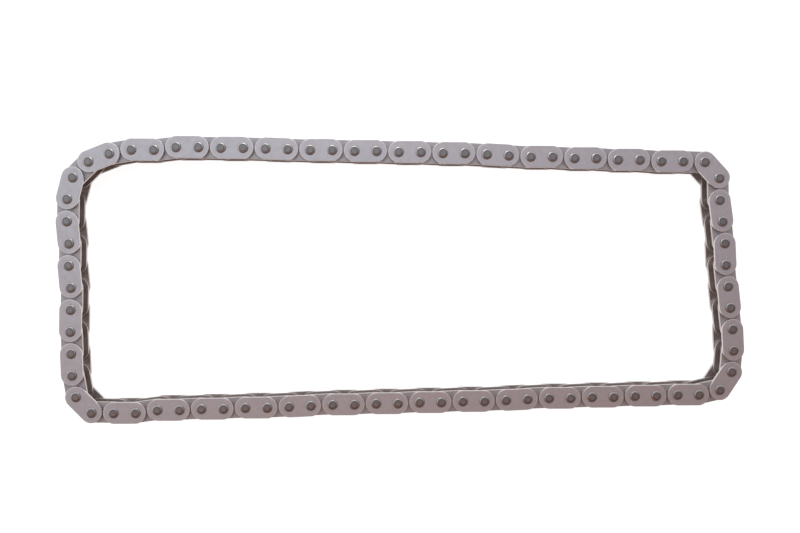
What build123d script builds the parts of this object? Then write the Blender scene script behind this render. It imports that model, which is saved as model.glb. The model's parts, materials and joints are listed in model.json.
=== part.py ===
"""Timing chain: an endless bush chain of 80 links, lying flat as a loop with square-ish corners.

Millimetres and degrees. +X runs along the loop, +Z is the pivots' direction. The origin is the middle of the
loop's rectangle, on the surface that the lower pin ends rest on. Links and pins are numbered clockwise from
the top left corner: link n runs from pin n to pin n + 1. Odd links are outer links, even links inner ones.
"""

from build123d import *
import os
from math import acos, atan2, cos, degrees, hypot, radians, sin

os.makedirs("parts", exist_ok=True)

# Driving dimensions of the chain
pitch = 8.0
link_count = 80
inner_width = 4.76
bush_diameter = 5.0
pin_diameter = 3.5
inner_plate_height = 7.7
inner_plate_thickness = 1.2
outer_plate_height = 7.9
outer_plate_thickness = 1.1
pin_proud = 0.4
pin_bevel = 0.35

# Clearances: the pivot turns, the plates slide past each other, the ends of neighbouring plates stay apart,
# and the press fits touch but for a hair
running_clearance = 0.05
side_clearance = 0.1
inner_end_gap = 0.6
outer_end_gap = 0.4
press_gap = 0.01

# How the loop lies: headings of its links in degrees, anticlockwise from +X.
# Outer links of facing runs lie exactly opposite each other, so a pair can swing and the loop stays closed.
top_left_headings = {79: 74.5, 80: 44.5, 1: 21.5, 2: 10.0, 4: 7.0}
top_run_links = range(3, 28)
top_run_start_slope = 0.8
top_run_end_slope = 4.0
top_right_headings = {28: -1.5, 30: -87.5, 31: -81.0}
right_run_links = range(32, 38)
right_run_heading = -82.5
right_swing_heading = -86.0
bottom_right_headings = {39: -122.5, 41: 180.0}
bottom_run_links = range(42, 66)
bottom_run_heading = -177.5
bottom_left_headings = {66: -172.5, 67: 180.0, 71: 91.0, 72: 91.0}
corner_swing_heading = -46.5
left_run_links = range(73, 79)
left_run_heading = 88.0

# Pivots that stay as they lie. Every other pivot turns, which makes sixty moving pieces of the eighty links.
straight_outer_links = (9, 19, 35, 39, 49, 59, 71, 79)
straight_single_pins = (1, 31, 41, 74)

# Heights above the surface
outer_plate_level = pin_proud
inner_plate_level = outer_plate_level + outer_plate_thickness + side_clearance
bush_length = inner_width + 2 * inner_plate_thickness
upper_inner_plate_level = inner_plate_level + inner_plate_thickness + inner_width
upper_outer_plate_level = inner_plate_level + bush_length + side_clearance
pin_length = upper_outer_plate_level + outer_plate_thickness + pin_proud


def is_outer(link):
    return link % 2 == 1


def step(heading):
    """The way from one pin to the next along a link."""
    return Vector(pitch * cos(radians(heading)), pitch * sin(radians(heading)))


def swings(link):
    """Whether both pivots of an outer link turn."""
    return is_outer(link) and link not in straight_outer_links


# Headings, run by run
headings = {**top_left_headings, **top_right_headings, **bottom_right_headings, **bottom_left_headings}
for link in top_run_links:
    if link not in headings:
        share = (link - top_run_links.start) / len(top_run_links)
        slope = top_run_start_slope + share * (top_run_end_slope - top_run_start_slope)
        headings[link] = 0.0 if swings(link) else -slope
for link in right_run_links:
    headings[link] = right_swing_heading if link in (33, 37) else right_run_heading
for link in bottom_run_links:
    headings[link] = 180.0 if swings(link) else bottom_run_heading
for link in left_run_links:
    headings[link] = right_swing_heading + 180 if link in (75, 77) else left_run_heading
headings[29] = corner_swing_heading
headings[69] = corner_swing_heading + 180


def close_arc(arc, facing_arc, first, second, first_guess):
    """Turns two links of an arc so that the whole arc runs back exactly as far as the arc that faces it."""
    open_way = Vector(0, 0)
    for link in (*arc, *facing_arc):
        if link not in (first, second):
            open_way -= step(headings[link])
    middle = degrees(atan2(open_way.Y, open_way.X))
    half_bend = degrees(acos(hypot(open_way.X, open_way.Y) / (2 * pitch)))
    near = abs((middle + half_bend - first_guess + 180) % 360 - 180)
    far = abs((middle - half_bend - first_guess + 180) % 360 - 180)
    bend = half_bend if near < far else -half_bend
    headings[first] = middle + bend
    headings[second] = middle - bend


left_arc = (*range(73, 81), 1)
top_arc = range(2, 32)
right_arc = range(32, 42)
bottom_arc = range(42, 73)
close_arc(right_arc, left_arc, 38, 40, right_run_heading)
close_arc(bottom_arc, top_arc, 68, 70, 180.0)

# Pin centres, moved so that the loop's rectangle is centred on the origin
pins = [Vector(0, 0)]
for link in range(1, link_count):
    pins.append(pins[-1] + step(headings[link]))
across = [pin.X for pin in pins]
along = [pin.Y for pin in pins]
middle_of_loop = Vector((min(across) + max(across)) / 2, (min(along) + max(along)) / 2)
pins = {number + 1: pin - middle_of_loop for number, pin in enumerate(pins)}


def plate_sketch(level, end_gap, height, hole_diameter):
    """A straight link plate with round ends and a hole at each pivot, clear of the next plate's end."""
    with BuildSketch(Plane.XY.offset(level)) as sketch:
        with Locations((pitch / 2, 0)):
            SlotOverall(2 * pitch - end_gap, height)
        with Locations((0, 0), (pitch, 0)):
            Circle(hole_diameter / 2, mode=Mode.SUBTRACT)
    return sketch.sketch


# Pin: a plain shaft whose two ends are bevelled by the riveting
with BuildPart() as pin:
    with BuildSketch(Plane.XZ):
        with BuildLine():
            Polyline(
                (0, 0),
                (pin_diameter / 2 - pin_bevel, 0),
                (pin_diameter / 2, pin_bevel),
                (pin_diameter / 2, pin_length - pin_bevel),
                (pin_diameter / 2 - pin_bevel, pin_length),
                (0, pin_length),
                close=True,
            )
        make_face()
    revolve(axis=Axis.Z)

# Bush: a tube that the pin turns in, pressed into both inner plates and flush with them
with BuildPart() as bush:
    with BuildSketch(Plane.XY.offset(inner_plate_level)):
        Circle(bush_diameter / 2)
        Circle(pin_diameter / 2 + running_clearance, mode=Mode.SUBTRACT)
    extrude(amount=bush_length)

# Outer link: two outer plates on two riveted pins
with BuildPart() as outer_link:
    for level in (outer_plate_level, upper_outer_plate_level):
        add(plate_sketch(level, outer_end_gap, outer_plate_height, pin_diameter + 2 * press_gap))
        extrude(amount=outer_plate_thickness)
    with Locations((0, 0), (pitch, 0)):
        add(pin.part)

# Inner link: two inner plates on two bushes
with BuildPart() as inner_link:
    for level in (inner_plate_level, upper_inner_plate_level):
        add(plate_sketch(level, inner_end_gap, inner_plate_height, bush_diameter + 2 * press_gap))
        extrude(amount=inner_plate_thickness)
    with Locations((0, 0), (pitch, 0)):
        add(bush.part)


def moving_pieces():
    """The links between one turning pivot and the next, in order round the loop."""
    still = set(straight_single_pins)
    for link in straight_outer_links:
        still |= {link, link % link_count + 1}
    first = next(number for number in range(1, link_count + 1) if number not in still)
    pieces = []
    for offset in range(link_count):
        link = (first - 1 + offset) % link_count + 1
        if link in still:
            pieces[-1].append(link)
        else:
            pieces.append([link])
    return pieces


def piece_name(links):
    if len(links) > 1:
        return f"link_run_{links[0]:02d}_to_{links[-1]:02d}"
    kind = "outer" if is_outer(links[0]) else "inner"
    return f"{kind}_link_{links[0]:02d}"


for links in moving_pieces():
    with BuildPart() as piece:
        for link in links:
            place = Location((pins[link].X, pins[link].Y, 0), (0, 0, headings[link]))
            with Locations(place):
                add(outer_link.part if is_outer(link) else inner_link.part)
    piece.part.label = piece_name(links)
    export_step(piece.part, f"parts/{piece.part.label}.step")
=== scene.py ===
import json
from math import atan2, cos, radians, sin

import bmesh
import bpy
import numpy as np
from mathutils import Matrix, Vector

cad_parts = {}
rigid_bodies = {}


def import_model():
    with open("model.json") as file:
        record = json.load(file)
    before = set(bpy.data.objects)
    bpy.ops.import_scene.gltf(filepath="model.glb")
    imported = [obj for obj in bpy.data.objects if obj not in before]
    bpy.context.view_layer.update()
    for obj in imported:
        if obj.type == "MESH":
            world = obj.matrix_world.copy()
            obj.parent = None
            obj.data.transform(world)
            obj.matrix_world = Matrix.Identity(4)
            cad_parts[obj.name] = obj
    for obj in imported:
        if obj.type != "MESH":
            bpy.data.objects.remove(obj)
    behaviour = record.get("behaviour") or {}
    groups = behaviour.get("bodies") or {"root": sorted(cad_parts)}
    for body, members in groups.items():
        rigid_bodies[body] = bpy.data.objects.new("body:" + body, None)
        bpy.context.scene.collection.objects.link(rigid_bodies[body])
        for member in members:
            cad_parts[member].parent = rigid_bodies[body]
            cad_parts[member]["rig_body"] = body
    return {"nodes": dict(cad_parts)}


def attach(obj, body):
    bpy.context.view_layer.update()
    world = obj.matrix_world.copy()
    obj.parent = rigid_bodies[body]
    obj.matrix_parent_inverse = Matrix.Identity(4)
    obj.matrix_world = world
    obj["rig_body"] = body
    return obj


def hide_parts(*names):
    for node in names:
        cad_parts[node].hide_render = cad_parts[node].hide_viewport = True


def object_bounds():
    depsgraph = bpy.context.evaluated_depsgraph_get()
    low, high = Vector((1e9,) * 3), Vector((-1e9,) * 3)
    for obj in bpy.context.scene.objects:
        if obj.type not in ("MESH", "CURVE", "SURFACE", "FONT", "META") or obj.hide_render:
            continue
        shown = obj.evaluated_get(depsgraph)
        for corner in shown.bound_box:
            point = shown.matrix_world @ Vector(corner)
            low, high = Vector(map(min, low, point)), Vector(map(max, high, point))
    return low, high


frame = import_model()
cad_low, cad_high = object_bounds()

# The view: from above the middle of the loop, at arm's length and a little beyond its centre, so that the
# walls of all four runs show on their inner side. The picture's middle lies a little above the lens's axis.
view_lens = bpy.data.cameras.new("product_view")
view_lens.sensor_width = 36.0
view_lens.lens = 36.985
view_lens.shift_y = 0.0348
view_lens.clip_start = 0.01
camera = bpy.data.objects.new("product_view", view_lens)
camera.location = (-0.01003, 0.0136, 0.3094)
camera.rotation_euler = (radians(-3.518), radians(-1.541), radians(0.064))
bpy.context.scene.collection.objects.link(camera)
bpy.context.scene.camera = camera
bpy.context.scene.view_settings.view_transform = "Standard"


# The loop as it lies: 80 links, outer and inner in turn, with their lower plates on one level. A link's
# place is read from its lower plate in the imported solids: the plate's middle and the way that it points.
millimetre = 0.001
same_point = 1e-6
loop_height = cad_high.z - cad_low.z
outer_plate_level = 0.4
inner_plate_level = 1.6
thickest_plate = 1.5
pitch = 8.0


def lower_plates(node):
    """The middle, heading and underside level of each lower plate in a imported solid."""
    shell = bmesh.new()
    shell.from_mesh(frame["nodes"][node].data)
    bmesh.ops.remove_doubles(shell, verts=shell.verts, dist=same_point)
    unseen = set(shell.verts)
    plates = []
    while unseen:
        solid = [unseen.pop()]
        for corner in solid:
            for edge in corner.link_edges:
                neighbour = edge.other_vert(corner)
                if neighbour in unseen:
                    unseen.remove(neighbour)
                    solid.append(neighbour)
        spots = np.array([corner.co for corner in solid])
        underside, top = spots[:, 2].min(), spots[:, 2].max()
        if top - underside < thickest_plate * millimetre and top < loop_height / 2:
            middle = (spots.min(0) + spots.max(0)) / 2
            spread = np.cov(spots[:, :2].T)
            heading = atan2(2 * spread[0, 1], spread[0, 0] - spread[1, 1]) / 2
            plates.append((middle[0], middle[1], heading, underside / millimetre))
    shell.free()
    return sorted(plates)


outer_links, inner_links = {}, {}
for node in sorted(frame["nodes"]):
    body = frame["nodes"][node]["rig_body"]
    for x, y, heading, underside in lower_plates(node):
        is_outer = abs(underside - outer_plate_level) < abs(underside - inner_plate_level)
        links = outer_links if is_outer else inner_links
        links.setdefault(body, []).append((x, y, heading))
body_node = {frame["nodes"][node]["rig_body"]: node for node in frame["nodes"]}


# Outer plates: flat bars with round ends, blanked from strip steel and tumbled until satin. The punch rolls
# the edge of the side that faces out and leaves the other side square. Two of them hold two riveted pins.
outer_plate_length = 15.6
outer_plate_height = 7.9
outer_plate_thickness = 1.1
upper_outer_plate_level = 8.86
pin_hole = 3.52
rolled_width = 0.12
rolled_drop = 0.06
burr_bevel = 0.06
hole_bevel = 0.03
edge_trace = 0.05
torn_share = 0.3
crease_angle = 34
seam_gap = 0.001
# Width of the painted sheen along the rolled rim near the plates' ends.
rim_sheen_width = 0.45
arc_steps = 16
hole_steps = 22


def feed(tree, socket, value):
    """Gives an input its value, by a link where the value is another node's output."""
    if isinstance(value, bpy.types.NodeSocket):
        tree.links.new(value, socket)
    else:
        socket.default_value = value


def add_node(tree, kind, inputs=None, **settings):
    """Adds a node with its settings and its inputs' values."""
    node = tree.nodes.new(kind)
    for name, value in settings.items():
        setattr(node, name, value)
    for key, value in (inputs or {}).items():
        feed(tree, node.inputs[key], value)
    return node


def calc(tree, operation, *terms):
    return add_node(tree, "ShaderNodeMath", dict(enumerate(terms)), operation=operation).outputs[0]


def clamped(tree, value, low, high, start=0.0, end=1.0):
    """The value's place between low and high, eased at both ends."""
    inputs = {"Value": value, "From Min": low, "From Max": high, "To Min": start, "To Max": end}
    return add_node(tree, "ShaderNodeMapRange", inputs, interpolation_type="SMOOTHSTEP").outputs[0]


def point(tree, x, y, z):
    return add_node(tree, "ShaderNodeCombineXYZ", {"X": x, "Y": y, "Z": z}).outputs[0]


def new_tree(name, sizes):
    """A geometry tree with a named input for each size, and those inputs' sockets."""
    tree = bpy.data.node_groups.new(name, "GeometryNodeTree")
    tree.interface.new_socket("Geometry", in_out="OUTPUT", socket_type="NodeSocketGeometry")
    tree.interface.new_socket("Links", in_out="INPUT", socket_type="NodeSocketGeometry")
    for size, value in sizes.items():
        kind = "NodeSocketInt" if isinstance(value, int) else "NodeSocketFloat"
        tree.interface.new_socket(size, in_out="INPUT", socket_type=kind).default_value = value
    tree.interface.new_socket("Steel", in_out="INPUT", socket_type="NodeSocketMaterial")
    given = tree.nodes.new("NodeGroupInput").outputs
    return tree, {socket.name: socket for socket in given if socket.name}


def pick(tree, index, values):
    """The value that stands at the index."""
    node = tree.nodes.new("GeometryNodeIndexSwitch")
    node.data_type = "FLOAT"
    while len(node.index_switch_items) < len(values):
        node.index_switch_items.new()
    for socket, value in zip(node.inputs, (index, *values)):
        feed(tree, socket, value)
    return node.outputs[0]


def skin(tree, outline, steps, profile):
    """Rings of faces round an outline. The profile gives each ring's reach and height, in millimetres."""
    columns = calc(tree, "ADD", steps, 1.0)
    grid = add_node(tree, "GeometryNodeMeshGrid", {
        "Size X": 1.0, "Size Y": 1.0, "Vertices X": columns, "Vertices Y": len(profile),
    }).outputs[0]
    here = add_node(tree, "GeometryNodeInputPosition").outputs[0]
    share = add_node(tree, "ShaderNodeSeparateXYZ", {0: here}).outputs
    step = calc(tree, "ROUND", calc(tree, "MULTIPLY", calc(tree, "ADD", share[0], 0.5), steps))
    step = calc(tree, "MODULO", step, steps)
    ring = calc(tree, "MULTIPLY", calc(tree, "ADD", share[1], 0.5), len(profile) - 1.0)
    ring = calc(tree, "ROUND", ring)
    reach = pick(tree, ring, [reach for reach, height in profile])
    height = pick(tree, ring, [height for reach, height in profile])
    x, y = outline(tree, step, reach)
    spot = point(tree, x, y, height)
    placed = add_node(tree, "GeometryNodeSetPosition", {"Geometry": grid, "Position": spot})
    return add_node(tree, "GeometryNodeSetShadeSmooth", {"Geometry": placed.outputs[0]}).outputs[0]


def circle(steps):
    """A round outline, whose reach is its radius."""
    def outline(tree, step, radius):
        turn = calc(tree, "MULTIPLY", calc(tree, "DIVIDE", step, steps), radians(360))
        return (calc(tree, "MULTIPLY", radius, calc(tree, "COSINE", turn)),
                calc(tree, "MULTIPLY", radius, calc(tree, "SINE", turn)))
    return outline


def joined(tree, *parts):
    node = tree.nodes.new("GeometryNodeJoinGeometry")
    for part in parts:
        tree.links.new(part, node.inputs[0])
    return node.outputs[0]


def moved(tree, part, **place):
    inputs = {"Geometry": part}
    inputs.update({name.capitalize(): value for name, value in place.items()})
    return add_node(tree, "GeometryNodeTransform", inputs).outputs[0]


def finished_shape(tree, part):
    """Merges a part's seams, keeps its creases sharp, and keeps each point's place on it, in millimetres."""
    part = add_node(tree, "GeometryNodeMergeByDistance", {
        "Geometry": part, "Distance": seam_gap,
    }).outputs[0]
    bend = add_node(tree, "GeometryNodeInputMeshEdgeAngle").outputs["Unsigned Angle"]
    crease = calc(tree, "GREATER_THAN", bend, radians(crease_angle))
    part = add_node(tree, "GeometryNodeSetShadeSmooth", {
        "Geometry": part, "Selection": crease, "Shade Smooth": False,
    }, domain="EDGE").outputs[0]
    here = add_node(tree, "GeometryNodeInputPosition").outputs[0]
    return add_node(tree, "GeometryNodeStoreNamedAttribute", {
        "Geometry": part, "Name": "place_on_piece", "Value": here,
    }, data_type="FLOAT_VECTOR", domain="POINT").outputs[0]


def laid_out(tree, given, part):
    """Ends a tree: the part is put on every link, turned to its heading, and made of the tree's steel."""
    heading = add_node(tree, "GeometryNodeInputNamedAttribute", {"Name": "heading"}, data_type="FLOAT")
    on_links = add_node(tree, "GeometryNodeInstanceOnPoints", {
        "Points": given["Links"], "Instance": part, "Rotation": point(tree, 0.0, 0.0, heading.outputs[0]),
        "Scale": (millimetre,) * 3,
    }).outputs[0]
    real = add_node(tree, "GeometryNodeRealizeInstances", {"Geometry": on_links}).outputs[0]
    steel = add_node(tree, "GeometryNodeSetMaterial", {"Geometry": real, "Material": given["Steel"]})
    tree.links.new(steel.outputs[0], tree.nodes.new("NodeGroupOutput").inputs[0])


def link_plates_tree():
    """Two link plates, one above the other, with their rolled edges outwards."""
    tree, given = new_tree("link_plates", {
        "Pitch": pitch, "Length": 2.0, "Height": 1.0, "Thickness": 1.0, "Hole": 1.0,
        "Lower Level": 0.0, "Upper Level": 1.0,
        "Rolled Width": rolled_width, "Rolled Drop": rolled_drop, "Burr Bevel": burr_bevel,
        "Hole Bevel": hole_bevel, "Arc Steps": arc_steps, "Hole Steps": hole_steps,
    })
    thickness, bevel, hole_bevel_size = given["Thickness"], given["Burr Bevel"], given["Hole Bevel"]
    end_points = calc(tree, "ADD", given["Arc Steps"], 1.0)
    around = calc(tree, "MULTIPLY", end_points, 2.0)
    half_pitch = calc(tree, "MULTIPLY", given["Pitch"], 0.5)
    arc_centre = calc(tree, "MULTIPLY", calc(tree, "SUBTRACT", given["Length"], given["Height"]), 0.5)
    hole_radius = calc(tree, "MULTIPLY", given["Hole"], 0.5)
    hole_rim = calc(tree, "ADD", hole_radius, hole_bevel_size)

    def bar(tree, step, inset):
        """A straight bar with round ends, whose reach is how far it lies inside the plate's outline."""
        end = calc(tree, "FLOOR", calc(tree, "DIVIDE", calc(tree, "ADD", step, 0.5), end_points))
        on_end = calc(tree, "SUBTRACT", step, calc(tree, "MULTIPLY", end, end_points))
        share = calc(tree, "ADD", calc(tree, "DIVIDE", on_end, given["Arc Steps"]), end)
        turn = calc(tree, "MULTIPLY", calc(tree, "SUBTRACT", share, 0.5), radians(180))
        radius = calc(tree, "SUBTRACT", calc(tree, "MULTIPLY", given["Height"], 0.5), inset)
        side = calc(tree, "SUBTRACT", 1.0, calc(tree, "MULTIPLY", end, 2.0))
        x = calc(tree, "MULTIPLY", radius, calc(tree, "COSINE", turn))
        x = calc(tree, "ADD", x, calc(tree, "MULTIPLY", arc_centre, side))
        return x, calc(tree, "MULTIPLY", radius, calc(tree, "SINE", turn))

    def rolled(turn):
        """A point of the rolled edge, from 0 degrees on the face to 90 degrees on the wall."""
        inset = calc(tree, "MULTIPLY", given["Rolled Width"], 1 - sin(radians(turn)))
        drop = calc(tree, "MULTIPLY", given["Rolled Drop"], 1 - cos(radians(turn)))
        return inset, calc(tree, "SUBTRACT", thickness, drop)

    edge = [rolled(turn) for turn in (0, 30, 60, 90)]
    wall = skin(tree, bar, around, [*edge, (0.0, bevel), (bevel, 0.0)])
    hole = skin(tree, circle(given["Hole Steps"]), given["Hole Steps"], [
        (hole_rim, thickness),
        (hole_radius, calc(tree, "SUBTRACT", thickness, hole_bevel_size)),
        (hole_radius, 0.0),
    ])

    def face(inset, hole_size, height):
        """The flat of the plate between its edge and its two holes."""
        line = add_node(tree, "GeometryNodeMeshLine", {"Count": around}).outputs[0]
        step = add_node(tree, "GeometryNodeInputIndex").outputs[0]
        x, y = bar(tree, step, inset)
        spot = point(tree, x, y, 0.0)
        line = add_node(tree, "GeometryNodeSetPosition", {"Geometry": line, "Position": spot})
        line = add_node(tree, "GeometryNodeMeshToCurve", {"Mesh": line.outputs[0]}).outputs[0]
        line = add_node(tree, "GeometryNodeSetSplineCyclic", {"Geometry": line, "Cyclic": True}).outputs[0]
        ring = add_node(tree, "GeometryNodeCurvePrimitiveCircle", {
            "Resolution": given["Hole Steps"], "Radius": hole_size,
        }).outputs[0]
        rings = [moved(tree, ring, translation=point(tree, x, 0.0, 0.0))
                 for x in (half_pitch, calc(tree, "MULTIPLY", half_pitch, -1.0))]
        flat = add_node(tree, "GeometryNodeFillCurve", {"Curve": joined(tree, line, *rings)}).outputs[0]
        flat = add_node(tree, "GeometryNodeSetShadeSmooth", {"Geometry": flat, "Shade Smooth": False})
        return moved(tree, flat.outputs[0], translation=point(tree, 0.0, 0.0, height))

    holes = [moved(tree, hole, translation=point(tree, x, 0.0, 0.0))
             for x in (half_pitch, calc(tree, "MULTIPLY", half_pitch, -1.0))]
    outside = face(edge[0][0], hole_rim, thickness)
    inside = face(bevel, hole_radius, 0.0)
    plate = joined(tree, wall, *holes, outside, inside)
    plate = finished_shape(tree, plate)
    upper = moved(tree, plate, translation=point(tree, 0.0, 0.0, given["Upper Level"]))
    turned_over = point(tree, 0.0, 0.0, calc(tree, "ADD", given["Lower Level"], thickness))
    lower = moved(tree, plate, translation=turned_over, rotation=(radians(180), 0.0, 0.0))
    laid_out(tree, given, joined(tree, upper, lower))
    return tree


number_spread = (7919, 6007)


def make_pieces(kind, tree, sizes, spots):
    """One piece for each body with such parts: a plain mesh that rides on it and stands for its node."""
    identifiers = {item.name: item.identifier for item in tree.interface.items_tree
                   if item.in_out == "INPUT"}
    for body, places in spots.items():
        points = bpy.data.meshes.new("points")
        points.from_pydata([(x, y, 0.0) for x, y, heading in places], [], [])
        numbers = [abs(x * number_spread[0] + y * number_spread[1]) % 1 for x, y, heading in places]
        for name, values in (("heading", [place[2] for place in places]), ("piece_number", numbers)):
            points.attributes.new(name, "FLOAT", "POINT").data.foreach_set("value", values)
        piece = bpy.data.objects.new(f"{kind}_{body.split('link_')[1]}", points)
        bpy.context.scene.collection.objects.link(piece)
        recipe = piece.modifiers.new("recipe", "NODES")
        recipe.node_group = tree
        for name, value in sizes.items():
            recipe[identifiers[name]] = value
        evaluated = piece.evaluated_get(bpy.context.evaluated_depsgraph_get())
        plain_mesh = bpy.data.meshes.new_from_object(evaluated)
        piece.modifiers.clear()
        piece.data = plain_mesh
        piece.data.name = piece.name
        shell = bmesh.new()
        shell.from_mesh(piece.data)
        bmesh.ops.recalc_face_normals(shell, faces=shell.faces)
        shell.to_mesh(piece.data)
        shell.free()
        bpy.data.meshes.remove(points)
        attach(piece, body)
        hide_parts(body_node[body])


def new_finish(name, inputs, outputs):
    """A shader group with named inputs and outputs, those inputs' sockets, and its output node."""
    kinds = {"vector": "NodeSocketVector", "colour": "NodeSocketColor", "value": "NodeSocketFloat"}
    group = bpy.data.node_groups.new(name, "ShaderNodeTree")
    for socket, kind in inputs.items():
        group.interface.new_socket(socket, in_out="INPUT", socket_type=kinds[kind])
    for socket, kind in outputs.items():
        group.interface.new_socket(socket, in_out="OUTPUT", socket_type=kinds[kind])
    given = {socket.name: socket for socket in group.nodes.new("NodeGroupInput").outputs if socket.name}
    return group, given, group.nodes.new("NodeGroupOutput")


def blended(tree, share, below, above):
    """The colour below, covered with the one above as far as the share says."""
    return add_node(tree, "ShaderNodeMix", {0: share, 6: below, 7: above}, data_type="RGBA").outputs[2]


def noise(tree, at, scale, detail=2.0, roughness=0.5):
    inputs = {"Vector": at, "Scale": scale, "Detail": detail, "Roughness": roughness}
    return add_node(tree, "ShaderNodeTexNoise", inputs).outputs[0]


pattern_shift = (173.0, 91.0, 37.0)
cloud_scale = 0.45
grain_scale = 7.0
nick_turns_and_scales = ((12.0, 9.0), (67.0, 7.0), (131.0, 11.0))
nick_stretch = 0.35
nick_share = 0.5
nick_depth = 0.8
rubbed_gloss = 0.08


def tumbled_steel():
    """Steel that was tumbled with stones: satin grain, nicks, cloudy colour, and edges rubbed brighter, where
    the plates also get painted sheen and painted reflection.
    """
    group, given, result = new_finish("tumbled_steel", {
        "Place": "vector", "Number": "value", "Steel": "colour", "Cloud": "colour", "Rubbed And Sheen": "colour",
        "Edge": "value", "Cloudiness": "value", "Nicks": "value", "Roughness": "value",
    }, {"Colour": "colour", "Roughness": "value", "Height": "value"})
    shift = point(group, *(calc(group, "MULTIPLY", given["Number"], reach) for reach in pattern_shift))
    at = add_node(group, "ShaderNodeVectorMath", {0: given["Place"], 1: shift}, operation="ADD").outputs[0]
    cloud = clamped(group, noise(group, at, cloud_scale, 4.0, 0.6), 0.35, 0.7)
    grain = noise(group, at, grain_scale, 3.0, 0.6)
    nicks = 0.0
    for turn, scale in nick_turns_and_scales:
        along = add_node(group, "ShaderNodeMapping", {
            "Vector": at, "Rotation": (0.0, 0.0, radians(turn)), "Scale": (nick_stretch, scale, 1.0),
        }).outputs[0]
        line = clamped(group, noise(group, along, 1.0, 1.0), 0.68, 0.76)
        nicks = calc(group, "MAXIMUM", nicks, line)
    nicks = calc(group, "MULTIPLY", nicks, given["Nicks"])
    # Rubbed and burnished edges, which on the plates' rims and walls also carry painted sheen and painted
    # reflection.
    rub_and_sheen = calc(group, "MULTIPLY", given["Edge"], clamped(group, grain, 0.2, 0.6, 0.55, 1.0))
    clouded = calc(group, "MULTIPLY", cloud, given["Cloudiness"])
    colour = blended(group, clouded, given["Steel"], given["Cloud"])
    colour = blended(group, calc(group, "MULTIPLY", nicks, nick_share), colour, given["Rubbed And Sheen"])
    colour = blended(group, rub_and_sheen, colour, given["Rubbed And Sheen"])
    rough = calc(group, "ADD", given["Roughness"], calc(group, "MULTIPLY", cloud, 0.06))
    rough = calc(group, "ADD", rough, calc(group, "MULTIPLY", grain, 0.08))
    rough = calc(group, "SUBTRACT", rough, calc(group, "MULTIPLY", rub_and_sheen, rubbed_gloss))
    height = calc(group, "SUBTRACT", grain, calc(group, "MULTIPLY", nicks, nick_depth))
    group.links.new(colour, result.inputs["Colour"])
    group.links.new(rough, result.inputs["Roughness"])
    group.links.new(height, result.inputs["Height"])
    return group


# rim_sheen_share is painted sheen on the rims. wall_share is partly burnished punched edges and partly
# painted reflection of the table.
rim_sheen_share = 0.2
wall_share = 0.75
torn_blend = 0.12
torn_loss = 0.3
ragged_share = 0.3
streak_scale = (9.0, 9.0, 0.8)
ring_width = 0.45
# Painted shade: the inner plates' middle, which shows in the narrow gap between the outer plates' ends, is
# darkened within these half sizes.
gap_shade_half_width = 1.3
full_gap_shade_half_width = 0.4
gap_shade_half_height = 3.4
full_gap_shade_half_height = 1.6


def plate_edge():
    """Where a place on a plate is: near its edge, its pins or its middle, on its inside or its torn wall."""
    group, given, result = new_finish("plate_edge", {
        "Place": "vector", "Half Pitch": "value", "Arc Centre": "value", "Half Height": "value",
        "Thickness": "value", "Edge Width": "value", "Hole": "value",
    }, {"Edge": "value", "Ring": "value", "Middle": "value", "Inside": "value", "Torn": "value"})
    at = add_node(group, "ShaderNodeSeparateXYZ", {0: given["Place"]}).outputs
    along = calc(group, "ABSOLUTE", at[0])

    def away(x):
        """How far the place is from a point on the plate's long axis."""
        return calc(group, "SQRT", calc(group, "ADD", calc(group, "MULTIPLY", x, x),
                                        calc(group, "MULTIPLY", at[1], at[1])))

    inset = away(calc(group, "MAXIMUM", calc(group, "SUBTRACT", along, given["Arc Centre"]), 0.0))
    inset = calc(group, "SUBTRACT", given["Half Height"], inset)
    wall = clamped(group, inset, 0.0, edge_trace, 1.0, 0.0)
    level = calc(group, "DIVIDE", at[2], given["Thickness"])
    streaks = add_node(group, "ShaderNodeMapping", {
        "Vector": given["Place"], "Scale": streak_scale,
    }).outputs[0]
    ragged = calc(group, "MULTIPLY", noise(group, streaks, 1.0, 2.0), ragged_share)
    torn = clamped(group, calc(group, "ADD", level, ragged), torn_share, torn_share + torn_blend, 1.0, 0.0)
    torn = calc(group, "MULTIPLY", torn, wall)
    # Painted sheen: the rolled rim is lighter near the plates' ends.
    rim = clamped(group, calc(group, "DIVIDE", inset, given["Edge Width"]), 0.8, 1.1, rim_sheen_share, 0.0)
    off_end = calc(group, "SUBTRACT", given["Arc Centre"], along)
    rim = calc(group, "MULTIPLY", rim, clamped(group, off_end, -2.0, 0.0, 1.0, 0.0))
    # The walls are brighter: partly burnished punched edges, partly a painted reflection of the white table.
    edge = calc(group, "ADD", rim, calc(group, "MULTIPLY", wall, wall_share))
    kept = calc(group, "SUBTRACT", 1.0, calc(group, "MULTIPLY", torn, torn_loss))
    edge = calc(group, "MULTIPLY", edge, kept)
    radius = away(calc(group, "SUBTRACT", along, given["Half Pitch"]))
    # A ring round each hole, for the painted shade where the pin or bush meets the plate.
    ring = clamped(group, calc(group, "SUBTRACT", radius, given["Hole"]), 0.0, ring_width, 1.0, 0.0)
    off_axis = calc(group, "ABSOLUTE", at[1])
    # The middle, where the painted shade of the gap between the outer plates' ends goes.
    across = clamped(group, off_axis, full_gap_shade_half_height, gap_shade_half_height, 1.0, 0.0)
    middle = clamped(group, along, full_gap_shade_half_width, gap_shade_half_width, 1.0, 0.0)
    middle = calc(group, "MULTIPLY", middle, across)
    # The inner face, which gets a warm painted shade tint for the shade between the plates.
    inside = clamped(group, at[2], 0.0, edge_trace, 1.0, 0.0)
    masks = {"Edge": edge, "Ring": ring, "Middle": middle, "Inside": inside, "Torn": torn}
    for name, mask in masks.items():
        group.links.new(mask, result.inputs[name])
    return group


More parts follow.
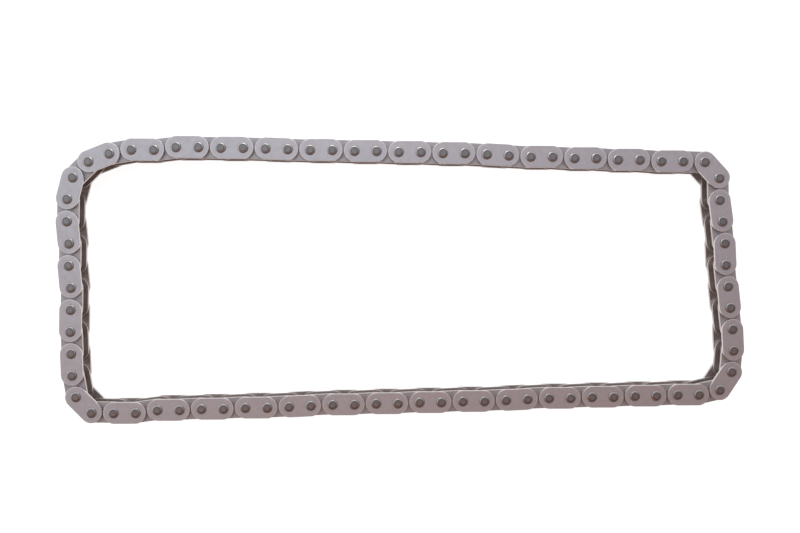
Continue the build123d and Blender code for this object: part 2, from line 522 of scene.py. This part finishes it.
def steel_material(name):
    """A new material, with its tree and its shader."""
    material = bpy.data.materials.new(name)
    material.use_nodes = True
    tree = material.node_tree
    shader = tree.nodes["Principled BSDF"]
    shader.inputs["Metallic"].default_value = 1.0
    return material, tree, shader


def finish_with(tree, shader, finish, values, bump):
    """Puts a finish on a material: its colour, its roughness, and its grain as a fine bump."""
    surface = add_node(tree, "ShaderNodeGroup", values, node_tree=finish).outputs
    tree.links.new(surface["Colour"], shader.inputs["Base Color"])
    tree.links.new(surface["Roughness"], shader.inputs["Roughness"])
    grain = add_node(tree, "ShaderNodeBump", {"Height": surface["Height"], "Distance": bump * millimetre})
    tree.links.new(grain.outputs[0], shader.inputs["Normal"])


def on_piece(tree):
    """The place on the piece in millimetres, and the piece's own number."""
    place = add_node(tree, "ShaderNodeAttribute", attribute_name="place_on_piece").outputs["Vector"]
    return place, add_node(tree, "ShaderNodeAttribute", attribute_name="piece_number").outputs["Fac"]


steel_finish = tumbled_steel()
edge_finder = plate_edge()
# The colour of the painted shade in the gap between the outer plates' ends.
gap_shade_colour = (0.09, 0.075, 0.07, 1.0)
# How strongly the painted shade round the holes darkens the plate.
ring_shade_share = 0.5
torn_roughness = 0.15
grain_depth = 0.004


def plate_material(name, steel, cloud, rubbed_and_sheen, ring_shade, inside_shade_tint,
                   length, height, thickness, hole, roughness, gap_shade=0.0):
    """A plate's steel, with painted shade round its holes, a warm painted shade tint on its inside, and
    painted shade in its middle as far as told.
    """
    material, tree, shader = steel_material(name)
    place, number = on_piece(tree)
    near = add_node(tree, "ShaderNodeGroup", {
        "Place": place, "Half Pitch": pitch / 2, "Arc Centre": (length - height) / 2,
        "Half Height": height / 2, "Thickness": thickness, "Edge Width": rim_sheen_width, "Hole": hole / 2,
    }, node_tree=edge_finder).outputs
    # Painted shade round the holes, where the pins and bushes meet the plate.
    face = blended(tree, calc(tree, "MULTIPLY", near["Ring"], ring_shade_share), steel, ring_shade)
    # Painted shade in the plate's middle, in the gap between the outer plates' ends.
    face = blended(tree, calc(tree, "MULTIPLY", near["Middle"], gap_shade), face, gap_shade_colour)
    # A warm painted shade tint on the plate's inner face, standing for the warm light in the shade between
    # the plates.
    face = blended(tree, near["Inside"], face, inside_shade_tint)
    finish_with(tree, shader, steel_finish, {
        "Place": place, "Number": number, "Steel": face, "Cloud": cloud,
        "Rubbed And Sheen": rubbed_and_sheen, "Edge": near["Edge"], "Cloudiness": 0.5, "Nicks": 0.6,
        "Roughness": calc(tree, "ADD", calc(tree, "MULTIPLY", near["Torn"], torn_roughness), roughness),
    }, grain_depth)
    return material


# The rubbed colours are partly the steel's own wear and partly painted reflection: bright and pinkish, like
# the light that the walls and rims mirror.
outer_steel = plate_material(
    "outer_plate_steel", steel=(0.39, 0.37, 0.395, 1.0), cloud=(0.335, 0.31, 0.33, 1.0),
    rubbed_and_sheen=(0.72, 0.64, 0.61, 1.0), ring_shade=(0.22, 0.20, 0.205, 1.0), inside_shade_tint=(0.40, 0.345, 0.32, 1.0),
    length=outer_plate_length, height=outer_plate_height, thickness=outer_plate_thickness, hole=pin_hole,
    roughness=0.36)
plates_tree = link_plates_tree()
make_pieces("outer_plates", plates_tree, {
    "Length": outer_plate_length, "Height": outer_plate_height, "Thickness": outer_plate_thickness,
    "Hole": pin_hole, "Lower Level": outer_plate_level, "Upper Level": upper_outer_plate_level,
    "Steel": outer_steel,
}, outer_links)


# Inner plates: the same bars, a little lower and thicker, of a duller grey. Two of them are pressed on two
# bushes, and they show between the ends of the outer plates.
inner_plate_length = 15.4
inner_plate_height = 7.7
inner_plate_thickness = 1.2
upper_inner_plate_level = 7.56
bush_hole = 5.02

inner_steel = plate_material(
    "inner_plate_steel", steel=(0.315, 0.30, 0.315, 1.0), cloud=(0.26, 0.24, 0.25, 1.0),
    rubbed_and_sheen=(0.64, 0.56, 0.53, 1.0), ring_shade=(0.26, 0.24, 0.245, 1.0), inside_shade_tint=(0.38, 0.32, 0.295, 1.0),
    length=inner_plate_length, height=inner_plate_height, thickness=inner_plate_thickness, hole=bush_hole,
    roughness=0.4, gap_shade=0.3)
make_pieces("inner_plates", plates_tree, {
    "Length": inner_plate_length, "Height": inner_plate_height, "Thickness": inner_plate_thickness,
    "Hole": bush_hole, "Lower Level": inner_plate_level, "Upper Level": upper_inner_plate_level,
    "Steel": inner_steel,
}, inner_links)


# Pins: hard round pins, darker than the plates, riveted at both ends. The riveting spreads the end a little
# over the plate, rounds its shoulder, which gleams towards the light, and leaves it dull and slightly dished.
pin_diameter = 3.5
pin_length = 10.36
head_diameter = 3.8
shoulder_width = 0.6
shoulder_drop = 0.34
head_height = 0.4
dish_diameter = 1.6
dish_depth = 0.03
pin_steps = 24
pin_end_colour = (0.20, 0.186, 0.19, 1.0)
pin_end_rim_colour = (0.09, 0.082, 0.082, 1.0)
pin_cloud_colour = (0.13, 0.115, 0.115, 1.0)
shoulder_colour = (0.32, 0.295, 0.29, 1.0)


def pins_tree():
    tree, given = new_tree("riveted_pin", {
        "Diameter": pin_diameter, "Length": pin_length, "Head Diameter": head_diameter,
        "Head Height": head_height, "Shoulder Width": shoulder_width, "Shoulder Drop": shoulder_drop,
        "Dish Diameter": dish_diameter, "Dish Depth": dish_depth, "Steps": pin_steps,
    })
    radius = calc(tree, "MULTIPLY", given["Diameter"], 0.5)
    head_radius = calc(tree, "MULTIPLY", given["Head Diameter"], 0.5)
    end = [(0.0, given["Dish Depth"]), (calc(tree, "MULTIPLY", given["Dish Diameter"], 0.5), 0.0)]
    for turn in (0, 30, 60, 90):
        inset = calc(tree, "MULTIPLY", given["Shoulder Width"], 1 - sin(radians(turn)))
        drop = calc(tree, "MULTIPLY", given["Shoulder Drop"], 1 - cos(radians(turn)))
        end.append((calc(tree, "SUBTRACT", head_radius, inset), drop))
    end += [(head_radius, given["Head Height"]), (radius, given["Head Height"])]
    far_end = [(reach, calc(tree, "SUBTRACT", given["Length"], depth)) for reach, depth in reversed(end)]
    shaft = skin(tree, circle(given["Steps"]), given["Steps"], [*end, *far_end])
    laid_out(tree, given, finished_shape(tree, shaft))
    return tree


def round_spots(links):
    """The two pivots of every link, for the pieces that are centred on them."""
    spots = {}
    for body, places in links.items():
        for x, y, heading in places:
            for side in (-1, 1):
                reach = side * pitch / 2 * millimetre
                pivot = (x + reach * cos(heading), y + reach * sin(heading), heading)
                spots.setdefault(body, []).append(pivot)
    return spots


def pin_material():
    material, tree, shader = steel_material("pin_steel")
    place, number = on_piece(tree)
    x, y, z = add_node(tree, "ShaderNodeSeparateXYZ", {0: place}).outputs
    squares = calc(tree, "ADD", calc(tree, "MULTIPLY", x, x), calc(tree, "MULTIPLY", y, y))
    radius = calc(tree, "SQRT", squares)
    shoulder_start = head_diameter / 2 - shoulder_width
    dull = clamped(tree, radius, dish_diameter / 2, shoulder_start)
    centre = blended(tree, dull, pin_end_colour, pin_end_rim_colour)
    shoulder = clamped(tree, radius, shoulder_start, shoulder_start + 0.15, 0.0, 0.8)
    finish_with(tree, shader, steel_finish, {
        "Place": place, "Number": number, "Steel": centre, "Cloud": pin_cloud_colour,
        "Rubbed And Sheen": shoulder_colour, "Edge": shoulder, "Cloudiness": 0.5, "Nicks": 0.4, "Roughness": 0.28,
    }, grain_depth)
    return material


pin_steel = pin_material()
make_pieces("pins", pins_tree(), {"Steel": pin_steel}, round_spots(outer_links))


# Bushes: short steel tubes pressed into the inner plates, flush with their faces. The pins turn in them. They
# show only from the side, between the plates, where the sprocket's teeth have polished them.
bush_diameter = 5.0
bush_bore = 3.6
bush_length = 7.16
bush_bevel = 0.12
bush_steps = 24
bush_colour = (0.24, 0.225, 0.22, 1.0)
bush_cloud_colour = (0.17, 0.155, 0.15, 1.0)
polished_colour = (0.42, 0.40, 0.39, 1.0)
bush_grain_depth = 0.003


def bushes_tree():
    tree, given = new_tree("bush", {
        "Diameter": bush_diameter, "Bore": bush_bore, "Length": bush_length, "Level": inner_plate_level,
        "Bevel": bush_bevel, "Steps": bush_steps,
    })
    outside = calc(tree, "MULTIPLY", given["Diameter"], 0.5)
    rim = calc(tree, "SUBTRACT", outside, given["Bevel"])
    inside = calc(tree, "MULTIPLY", given["Bore"], 0.5)
    bottom = given["Level"]
    top = calc(tree, "ADD", bottom, given["Length"])
    tube = skin(tree, circle(given["Steps"]), given["Steps"], [
        (outside, calc(tree, "ADD", bottom, given["Bevel"])),
        (outside, calc(tree, "SUBTRACT", top, given["Bevel"])),
        (rim, top),
        (inside, top),
        (inside, bottom),
        (rim, bottom),
        (outside, calc(tree, "ADD", bottom, given["Bevel"])),
    ])
    laid_out(tree, given, finished_shape(tree, tube))
    return tree


def bush_material():
    material, tree, shader = steel_material("bush_steel")
    place, number = on_piece(tree)
    at = add_node(tree, "ShaderNodeSeparateXYZ", {0: place}).outputs
    middle = inner_plate_level + bush_length / 2
    off_middle = calc(tree, "ABSOLUTE", calc(tree, "SUBTRACT", at[2], middle))
    polished = clamped(tree, off_middle, 1.2, 2.3, 0.6, 0.0)
    finish_with(tree, shader, steel_finish, {
        "Place": place, "Number": number, "Steel": bush_colour, "Cloud": bush_cloud_colour,
        "Rubbed And Sheen": polished_colour, "Edge": polished, "Cloudiness": 0.6, "Nicks": 0.5, "Roughness": 0.3,
    }, bush_grain_depth)
    return material


bush_steel = bush_material()
make_pieces("bushes", bushes_tree(), {"Steel": bush_steel}, round_spots(inner_links))


# The floor and the light: a plain white table in a pale room that is brighter and cooler towards the window
# beyond the loop, and warmer towards the viewer. A small soft lamp at the window gives the pins their gleam.
floor_reach = 3.0
floor_colour = (0.25, 0.25, 0.25, 1.0)
floor_glow = 0.9
window_direction = (-0.35, 0.94, 0.0)
window_light = (1.9, 1.95, 2.0, 1.0)
shaded_wall = (0.32, 0.28, 0.265, 1.0)
horizon_light = (1.3, 1.22, 1.17, 1.0)
left_ceiling = (1.08, 1.23, 1.32, 1.0)
right_ceiling = (0.56, 0.42, 0.425, 1.0)
viewer_ceiling = (0.74, 0.26, 0.09, 1.0)
lamp_place = (-0.04, 0.28, 0.30)
lamp_power = 0.3

floor_mesh = bpy.data.meshes.new("floor")
corners = [(x * floor_reach, y * floor_reach, 0.0) for x, y in ((-1, -1), (1, -1), (1, 1), (-1, 1))]
floor_mesh.from_pydata(corners, [], [(0, 1, 2, 3)])
floor = bpy.data.objects.new("floor", floor_mesh)
bpy.context.scene.collection.objects.link(floor)

floor_paint = bpy.data.materials.new("white_table")
floor_paint.use_nodes = True
paint_tree = floor_paint.node_tree
paint = paint_tree.nodes["Principled BSDF"]
paint.inputs["Base Color"].default_value = floor_colour
paint.inputs["Roughness"].default_value = 0.8
paint.inputs["Specular IOR Level"].default_value = 0.1
rays = paint_tree.nodes.new("ShaderNodeLightPath").outputs
seen = calc(paint_tree, "MAXIMUM", rays["Is Camera Ray"], rays["Is Glossy Ray"])
seen = calc(paint_tree, "MAXIMUM", seen, rays["Is Transmission Ray"])
strength = calc(paint_tree, "MULTIPLY", seen, floor_glow)
glow = add_node(paint_tree, "ShaderNodeEmission", {"Strength": strength})
both = add_node(paint_tree, "ShaderNodeAddShader", {0: paint.outputs[0], 1: glow.outputs[0]})
paint_tree.links.new(both.outputs[0], paint_tree.nodes["Material Output"].inputs["Surface"])
floor_mesh.materials.append(floor_paint)

room = bpy.data.worlds.new("pale_room")
bpy.context.scene.world = room
room.use_nodes = True
sky = room.node_tree
way = add_node(sky, "ShaderNodeTexCoord").outputs["Generated"]
x, y, up = add_node(sky, "ShaderNodeSeparateXYZ", {0: way}).outputs
to_right = clamped(sky, x, -0.3, 0.8)
to_viewer = clamped(sky, y, -0.26, -0.08, 1.0, 0.0)
ceiling = blended(sky, to_right, left_ceiling, right_ceiling)
ceiling = blended(sky, to_viewer, ceiling, viewer_ceiling)
to_window = add_node(sky, "ShaderNodeVectorMath", {0: way, 1: window_direction}, operation="DOT_PRODUCT")
to_window = clamped(sky, to_window.outputs["Value"], -0.5, 0.6)
walls = blended(sky, to_window, shaded_wall, window_light)
walls = blended(sky, clamped(sky, up, 0.05, 0.3), horizon_light, walls)
above = blended(sky, clamped(sky, up, 0.7, 0.93), walls, ceiling)
sky.links.new(above, sky.nodes["Background"].inputs["Color"])

lamp_data = bpy.data.lights.new("window_lamp", "AREA")
lamp_data.shape = "RECTANGLE"
lamp_data.size = 0.16
lamp_data.size_y = 0.10
lamp_data.energy = lamp_power
lamp = bpy.data.objects.new("window_lamp", lamp_data)
lamp.location = lamp_place
lamp.rotation_euler = (-lamp.location).to_track_quat("-Z", "Y").to_euler()
bpy.context.scene.collection.objects.link(lamp)
